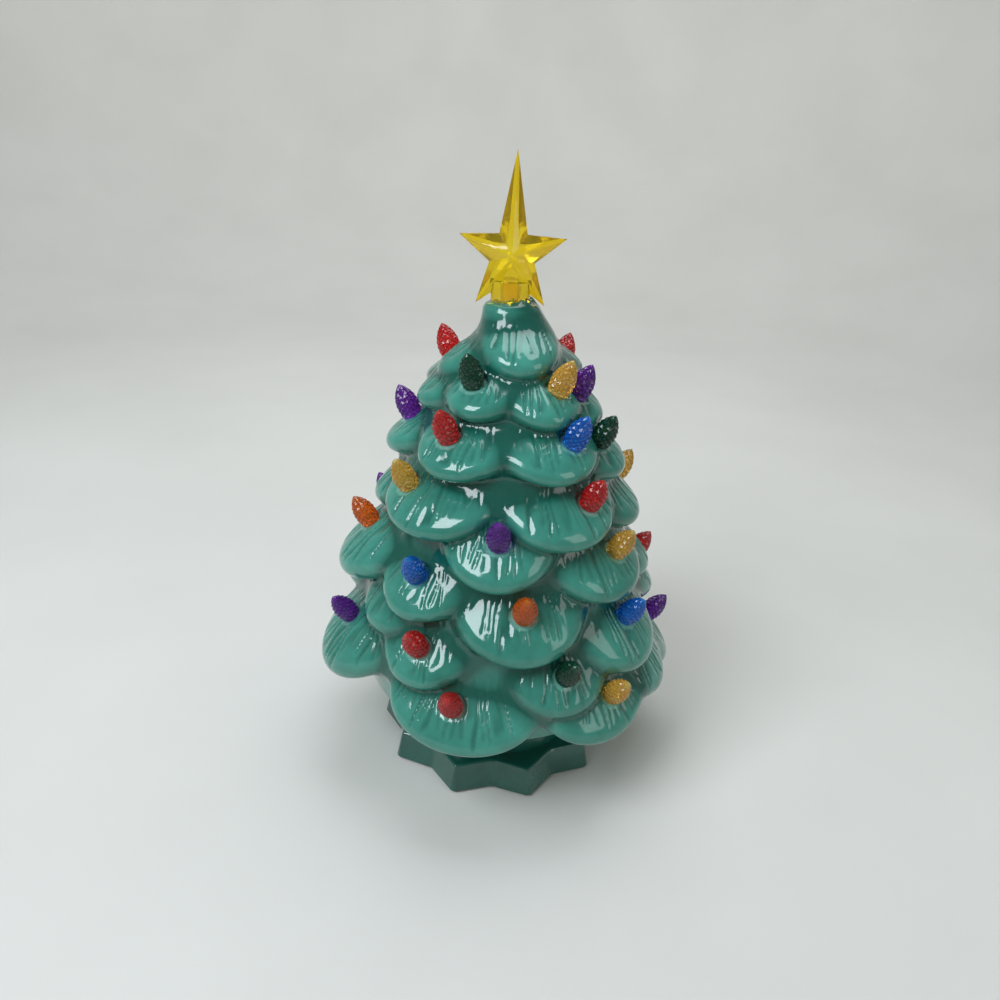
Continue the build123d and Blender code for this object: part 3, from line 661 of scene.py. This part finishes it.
def bulb_mesh(name, material):
    """A bulb on its stem, its skin a net of raised four-sided scales."""
    steps = 2 * BULB_SCALES
    points, faces, dents = [], [], []

    def ring(radius, level, pressed=None):
        """A ring of places, of which the even or the odd ones may be pressed in."""
        first = len(points)
        for i in range(steps):
            angle = math.pi * i / BULB_SCALES
            low = i % 2 == pressed
            r = radius - BULB_EMBOSS * min(1.0, radius / BULB_FADE_RADIUS) * low
            points.append((r * math.cos(angle), r * math.sin(angle), level))
            dents.append(float(low))
        return first

    rings = [ring(radius, level) for radius, level in STEM_RINGS]
    body = []
    for number, share in enumerate(np.linspace(BULB_FIRST_SHARE, BULB_LAST_SHARE, BULB_ROWS)):
        radius = np.interp(share, BULB_STATIONS, BULB_RADII)
        inner = 0 < number < BULB_ROWS - 1
        body.append(ring(radius, share * BULB_HEIGHT, number % 2 if inner else None))
    rings.append(body[0])
    for low, high in zip(rings, rings[1:]):
        for i in range(steps):
            j = (i + 1) % steps
            faces.append((low + i, low + j, high + j, high + i))
    smooth_count = len(faces)
    for number, (low, high) in enumerate(zip(body, body[1:])):
        for i in range(steps):
            j = (i + 1) % steps
            if (i + number) % 2:
                faces += [(low + i, low + j, high + i), (low + j, high + j, high + i)]
            else:
                faces += [(low + i, low + j, high + j), (low + i, high + j, high + i)]
    tip = len(points)
    points += [(0, 0, BULB_HEIGHT), (0, 0, -STEM_LENGTH)]
    dents += [0.0, 0.0]
    faces += [(body[-1] + i, body[-1] + (i + 1) % steps, tip) for i in range(steps)]
    faces += [((i + 1) % steps, i, tip + 1) for i in range(steps)]
    mesh = bpy.data.meshes.new(name)
    mesh.from_pydata((np.array(points) * MM).tolist(), [], faces)
    mesh.polygons.foreach_set("use_smooth", [i < smooth_count for i in range(len(faces))])
    # Which places are pressed in, read by the bulbs' painted shade in the net
    mesh.attributes.new("dent", "FLOAT", "POINT").data.foreach_set("value", dents)
    mesh.validate()
    mesh.materials.append(material)
    return mesh


# The star's rounded edges: width in millimetres, steps, and the angles between which an edge stays as it is
STAR_BEVEL = 0.8
BEVEL_STEPS = 3
FLAT_ANGLE = math.radians(1)
SHARP_ANGLE = math.radians(25)
WELD = 0.00001


def bevelled_copy(node, name, width, material):
    """A copy of a solid with its edges rounded."""
    bm = bmesh.new()
    bm.from_mesh(nodes[node].data)
    bmesh.ops.remove_doubles(bm, verts=bm.verts, dist=WELD)
    flat = [e for e in bm.edges if len(e.link_faces) == 2 and e.calc_face_angle() < FLAT_ANGLE]
    bmesh.ops.dissolve_edges(bm, edges=flat, use_verts=True)
    sharp = [e for e in bm.edges if len(e.link_faces) == 2 and e.calc_face_angle() > SHARP_ANGLE]
    rounding = {"offset": width * MM, "segments": BEVEL_STEPS, "profile": 0.5}
    bmesh.ops.bevel(bm, geom=sharp, affect="EDGES", clamp_overlap=True, **rounding)
    bmesh.ops.recalc_face_normals(bm, faces=bm.faces)
    mesh = bpy.data.meshes.new(name)
    bm.to_mesh(mesh)
    bm.free()
    mesh.shade_smooth()
    mesh.materials.append(material)
    return placed(name, mesh)


# Sockets of a mix node for colours: factor, the two colours, result
MIX_FACTOR, MIX_FIRST, MIX_SECOND, MIX_RESULT = 0, 6, 7, 2


class Nodes:
    """A material's node tree, built line by line."""

    def __init__(self, name):
        self.material = bpy.data.materials.new(name)
        self.material.use_nodes = True
        self.tree = self.material.node_tree
        self.shader = self.tree.nodes["Principled BSDF"]
        self.place = self.add("ShaderNodeTexCoord").outputs["Object"]

    def add(self, kind, **values):
        node = self.tree.nodes.new(kind)
        for key, value in values.items():
            setattr(node, key, value)
        return node

    def link(self, a, b):
        self.tree.links.new(a, b)

    def set(self, **values):
        """Values that are the same all over, on the shader's own sockets."""
        for key, value in values.items():
            self.shader.inputs[key.replace("_", " ")].default_value = value

    def noise(self, scale, detail=3.0, rough=0.5):
        node = self.add("ShaderNodeTexNoise")
        node.inputs["Scale"].default_value = scale
        node.inputs["Detail"].default_value = detail
        node.inputs["Roughness"].default_value = rough
        self.link(self.place, node.inputs["Vector"])
        return node.outputs["Fac"]

    def ramp(self, value, stops):
        """Colours or greys, each at its place from 0 to 1."""
        node = self.add("ShaderNodeValToRGB")
        elements = node.color_ramp.elements
        while len(elements) < len(stops):
            elements.new(0.5)
        for element, (place, colour) in zip(elements, stops):
            element.position = place
            element.color = (*colour, 1.0) if hasattr(colour, "__len__") else (colour, colour, colour, 1.0)
        self.link(value, node.inputs["Fac"])
        return node.outputs["Color"]

    def mix(self, fac, a, b, blend="MIX"):
        """Two colours mixed; each may be a socket or a value."""
        node = self.add("ShaderNodeMix", data_type="RGBA", blend_type=blend)
        for value, number in ((fac, MIX_FACTOR), (a, MIX_FIRST), (b, MIX_SECOND)):
            socket = node.inputs[number]
            if hasattr(value, "is_output"):
                self.link(value, socket)
            elif hasattr(value, "__len__"):
                socket.default_value = (*value, 1.0)
            else:
                socket.default_value = value
        return node.outputs[MIX_RESULT]

    def attribute(self, name):
        return self.add("ShaderNodeAttribute", attribute_name=name).outputs["Fac"]

    def bump(self, height, strength, distance):
        node = self.add("ShaderNodeBump")
        node.inputs["Strength"].default_value = strength
        node.inputs["Distance"].default_value = distance
        self.link(height, node.inputs["Height"])
        self.link(node.outputs["Normal"], self.shader.inputs["Normal"])

    def colour(self, value):
        self.link(value, self.shader.inputs["Base Color"])

    def roughness(self, value):
        self.link(value, self.shader.inputs["Roughness"])


# Glazes: body, pooled, thin, a painted highlight round a seat, then the base's two tones, darkened as
# painted shade
TEAL = (0.029, 0.198, 0.15)
TEAL_DEEP = (0.006, 0.085, 0.062)
TEAL_PALE = (0.056, 0.295, 0.23)
SEAT_HIGHLIGHT = (0.2, 0.46, 0.39)
# The base's two tones are the teal glaze darkened all over as painted shade
BASE_SHADE_DARK = (0.006, 0.075, 0.054)
BASE_SHADE_LIGHT = (0.014, 0.125, 0.092)


def glaze(name, carved, dark=TEAL, light=TEAL_PALE, coat=0.35):
    """Glossy teal glaze: deeper where it pools, paler where it runs thin, and where carved, a painted
    highlight round each bulb's seat.
    """
    n = Nodes(name)
    cloud = n.ramp(n.noise(28, detail=4, rough=0.55), ((0.3, dark), (0.7, light)))
    drift = n.ramp(n.noise(150, rough=0.6), ((0.35, 0.82), (0.7, 1.0)))
    tone = n.mix(1.0, cloud, drift, "MULTIPLY")
    if carved:
        pool = n.ramp(n.attribute("crease"), ((0.05, 0.0), (0.7, 1.0)))
        tone = n.mix(pool, tone, TEAL_DEEP)
        stroke = n.ramp(n.attribute("groove"), ((0.1, 0.0), (0.9, 0.75)))
        tone = n.mix(stroke, tone, TEAL_DEEP)
        # Painted highlight: a pale ring of glaze colour round each bulb's seat
        rim = n.ramp(n.attribute("ring"), ((0.3, 0.0), (0.75, 0.6)))
        tone = n.mix(rim, tone, SEAT_HIGHLIGHT)
    n.colour(tone)
    n.roughness(n.ramp(n.noise(90), ((0.3, 0.07), (0.75, 0.17))))
    n.bump(n.noise(130, detail=2, rough=0.4), strength=0.25, distance=0.0006)
    n.set(Coat_Weight=coat, Coat_Roughness=0.04, IOR=1.47, Specular_IOR_Level=0.5)
    return n.material


# Bulbs: colour in the net between the scales, darkened there as painted shade, then colour of the scales
BULB_COLOURS = {
    "red": ((0.62, 0.008, 0.01), (1.0, 0.055, 0.05)),
    "green": ((0.002, 0.045, 0.022), (0.008, 0.15, 0.075)),
    "gold": ((0.86, 0.42, 0.04), (1.0, 0.76, 0.2)),
    "blue": ((0.006, 0.13, 0.66), (0.025, 0.34, 1.0)),
    "purple": ((0.1, 0.01, 0.26), (0.3, 0.04, 0.6)),
    "orange": ((0.8, 0.12, 0.006), (1.0, 0.27, 0.02)),
}


def bulb_plastic(name, deep, clear):
    """Clear tinted plastic with a moulded surface, the net between its scales darkened as painted shade."""
    n = Nodes(name)
    dim = tuple(0.75 * c for c in clear)
    drift = n.ramp(n.noise(260, rough=0.6), ((0.3, dim), (0.75, clear)))
    # Painted shade: the pressed-in net between the scales takes the deeper colour
    dent = n.ramp(n.attribute("dent"), ((0.05, 0.0), (0.95, 1.0)))
    n.colour(n.mix(dent, drift, deep))
    n.roughness(n.ramp(n.noise(500, detail=2), ((0.3, 0.04), (0.8, 0.09))))
    n.bump(n.noise(900, detail=2), strength=0.1, distance=0.0002)
    n.set(Transmission_Weight=0.7, IOR=1.45, Specular_IOR_Level=0.7)
    return n.material


STAR_DEEP = (0.98, 0.66, 0.01)
STAR_CLEAR = (1.0, 0.8, 0.03)


def star_plastic():
    """Clear yellow plastic."""
    n = Nodes("star_plastic")
    n.colour(n.ramp(n.noise(70), ((0.3, STAR_DEEP), (0.75, STAR_CLEAR))))
    n.roughness(n.ramp(n.noise(300, detail=2), ((0.3, 0.03), (0.8, 0.09))))
    n.bump(n.noise(420, detail=2), strength=0.1, distance=0.0003)
    n.set(Transmission_Weight=0.86, IOR=1.44, Specular_IOR_Level=0.7)
    return n.material


def plain(name, low, high, rough, scale=300.0, metal=0.0, bump=0.15, depth=0.0002):
    """A surface with a little drift in its colour, gloss and height."""
    n = Nodes(name)
    n.colour(n.ramp(n.noise(scale, detail=4, rough=0.6), ((0.3, low), (0.7, high))))
    n.roughness(n.ramp(n.noise(scale * 2), ((0.3, rough * 0.8), (0.75, min(1.0, rough * 1.25)))))
    n.bump(n.noise(scale * 4), bump, depth)
    n.set(Metallic=metal)
    return n.material


tree_glaze = glaze("tree_glaze", True)
# The base and the tree's foot get the teal glaze darkened as painted shade
shaded_base_glaze = glaze("shaded_base_glaze", False, BASE_SHADE_DARK, BASE_SHADE_LIGHT, coat=0.9)
tree = build_tree(tree_glaze)
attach(tree, "tree")
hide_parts("lower_shell", "upper_shell")

bulb_meshes = {}
for colour, tints in BULB_COLOURS.items():
    bulb_meshes[colour] = bulb_mesh(f"bulb_{colour}", bulb_plastic(f"bulb_{colour}", *tints))
for number, (b, row) in enumerate(zip(lit, LIT), start=1):
    colour = row[-1]
    turn = Matrix(np.stack((b.across, np.cross(b.axis, b.across), b.axis), -1).tolist()).to_4x4()
    obj = placed(f"dimpled_bulb_{number:02d}", bulb_meshes[colour])
    obj.matrix_world = Matrix.Translation(Vector(b.seat * MM)) @ turn
    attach(obj, f"bulb_{number:02d}")
    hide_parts(f"bulb_{number:02d}")

star = bevelled_copy("star_topper", "star", STAR_BEVEL, star_plastic())
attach(star, "star")
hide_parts("star_topper")

# Solids that are seen as they are: dark and light tone, roughness and scale of the drift
FINISHES = {
    # Base and foot: teal glaze darkened as painted shade
    "base_dish": shaded_base_glaze,
    "tree_foot": shaded_base_glaze,
    "foot_pads": plain("felt", (0.02, 0.02, 0.02), (0.05, 0.05, 0.05), 0.95, 900.0, bump=0.6, depth=0.0005),
    "battery_case": plain("case_plastic", (0.012, 0.012, 0.013), (0.025, 0.025, 0.027), 0.5),
    "battery_door": plain("door_plastic", (0.014, 0.014, 0.015), (0.03, 0.03, 0.032), 0.45),
    "lamp_deck": plain("deck_plastic", (0.68, 0.68, 0.65), (0.78, 0.78, 0.75), 0.4),
    "deck_screws": plain("screw_steel", (0.42, 0.42, 0.43), (0.58, 0.58, 0.6), 0.3, 800.0, metal=1.0),
    "led_board": plain("board_mask", (0.008, 0.09, 0.035), (0.015, 0.14, 0.06), 0.35),
    "led_lamps": plain("lamp_epoxy", (0.75, 0.72, 0.6), (0.85, 0.83, 0.74), 0.12),
    "switch_body": plain("switch_plastic", (0.015, 0.015, 0.016), (0.028, 0.028, 0.03), 0.5),
    "switch_slider": plain("slider_plastic", (0.6, 0.6, 0.58), (0.72, 0.72, 0.7), 0.4),
    "contact_plates": plain("plate_nickel", (0.5, 0.49, 0.46), (0.66, 0.65, 0.62), 0.28, 700.0, metal=1.0),
    "contact_springs": plain("spring_nickel", (0.5, 0.49, 0.46), (0.66, 0.65, 0.62), 0.28, 700.0, metal=1.0),
    "wire_red": plain("red_insulation", (0.42, 0.012, 0.012), (0.55, 0.025, 0.02), 0.4, 500.0),
    "wire_switch": plain("switch_insulation", (0.42, 0.012, 0.012), (0.55, 0.025, 0.02), 0.4, 500.0),
    "wire_black": plain("black_insulation", (0.012, 0.012, 0.012), (0.025, 0.025, 0.025), 0.4, 500.0),
}
wrap = plain("cell_wrap", (0.02, 0.03, 0.05), (0.035, 0.045, 0.07), 0.3, 250.0, metal=0.4)
for name in ("cell_1", "cell_2", "cell_3"):
    FINISHES[name] = wrap
for name, material in FINISHES.items():
    nodes[name].data.materials.clear()
    nodes[name].data.materials.append(material)


# Stage, in metres: a pale floor that rises to a pale wall all round
FLOOR_RINGS = (0.3, 0.6)
FLOOR_RADIUS = 1.6
FLOOR_BEND = 0.7
FLOOR_BEND_STEPS = 12
FLOOR_STEPS = 64
WALL_HEIGHT = 2.2
FLOOR_DARK = (0.62, 0.62, 0.59)
FLOOR_LIGHT = (0.66, 0.66, 0.63)


def build_stage():
    """The floor and wall, seen from inside only, so that views from below look through them."""
    flat = FLOOR_RADIUS - FLOOR_BEND
    rows = [(r, 0.0) for r in (*FLOOR_RINGS, flat)]
    for i in range(1, FLOOR_BEND_STEPS + 1):
        a = i / FLOOR_BEND_STEPS * math.pi / 2
        rows.append((flat + FLOOR_BEND * math.sin(a), FLOOR_BEND - FLOOR_BEND * math.cos(a)))
    rows.append((FLOOR_RADIUS, WALL_HEIGHT))
    points, faces = [(0.0, 0.0, 0.0)], []
    for r, z in rows:
        first = len(points)
        inner = first - FLOOR_STEPS
        for i in range(FLOOR_STEPS):
            a = 2 * math.pi * i / FLOOR_STEPS
            points.append((r * math.cos(a), r * math.sin(a), z))
        for i in range(FLOOR_STEPS):
            j = (i + 1) % FLOOR_STEPS
            if first == 1:
                faces.append((0, first + i, first + j))
            else:
                faces.append((inner + i, first + i, first + j, inner + j))
    mesh = bpy.data.meshes.new("floor")
    mesh.from_pydata(points, [], faces)
    mesh.shade_smooth()
    n = Nodes("floor")
    n.colour(n.ramp(n.noise(6), ((0.3, FLOOR_DARK), (0.7, FLOOR_LIGHT))))
    n.set(Roughness=0.9)
    clear = n.add("ShaderNodeBsdfTransparent")
    either = n.add("ShaderNodeMixShader")
    n.link(n.add("ShaderNodeNewGeometry").outputs["Backfacing"], either.inputs[0])
    n.link(n.shader.outputs[0], either.inputs[1])
    n.link(clear.outputs[0], either.inputs[2])
    n.link(either.outputs[0], n.tree.nodes["Material Output"].inputs["Surface"])
    mesh.materials.append(n.material)
    placed("floor", mesh)


# Lamps: name, place and target in metres, width and height, watts, tint
LAMPS = (
    ("key", (-0.5, -0.5, 0.8), (0, 0, 0.1), (0.5, 0.5), 8.0, (0.88, 0.94, 1.0)),
    ("fill", (0.75, -0.5, 0.5), (0, 0, 0.1), (0.35, 0.6), 1.2, (1.0, 0.97, 0.93)),
    ("top", (0.05, 0.2, 1.0), (0, 0, 0.12), (0.7, 0.5), 4.0, (0.92, 0.96, 1.0)),
    ("wall", (0, 0.5, 1.3), (0, 1.6, 0.8), (1.4, 0.5), 9.0, (1.0, 1.0, 1.0)),
)
WORLD_TINT = (0.9, 0.95, 1.0, 1.0)
WORLD_STRENGTH = 0.21


def build_lights():
    """Soft area lamps and an even, pale world."""
    for name, place, target, size, watts, tint in LAMPS:
        data = bpy.data.lights.new(name, "AREA")
        data.shape = "RECTANGLE"
        data.size, data.size_y = size
        data.energy = watts
        data.color = tint
        obj = placed(name, data)
        obj.location = place
        obj.rotation_euler = (Vector(target) - Vector(place)).to_track_quat("-Z", "Y").to_euler()
    world = bpy.data.worlds.new("studio")
    world.use_nodes = True
    background = world.node_tree.nodes["Background"]
    background.inputs["Color"].default_value = WORLD_TINT
    background.inputs["Strength"].default_value = WORLD_STRENGTH
    bpy.context.scene.world = world


# The photograph's camera: place in metres, tilt up from straight down, roll, sensor and lens in millimetres
CAMERA_PLACE = (-0.003, -0.294, 0.256)
CAMERA_TILT = 65.0
CAMERA_ROLL = 3.2
CAMERA_SENSOR = 36.0
CAMERA_LENS = 27.07
CAMERA_CLIP = (0.01, 20.0)


def build_camera():
    """The camera, at the photograph's viewing angle."""
    data = bpy.data.cameras.new("camera")
    data.sensor_width = CAMERA_SENSOR
    data.lens = CAMERA_LENS
    data.clip_start, data.clip_end = CAMERA_CLIP
    obj = placed("camera", data)
    tilt = Matrix.Rotation(math.radians(CAMERA_TILT), 4, "X")
    roll = Matrix.Rotation(math.radians(CAMERA_ROLL), 4, "Z")
    obj.matrix_world = Matrix.Translation(CAMERA_PLACE) @ (tilt @ roll)
    bpy.context.scene.camera = obj


build_stage()
build_lights()
build_camera()
bpy.context.scene.view_settings.view_transform = "Standard"
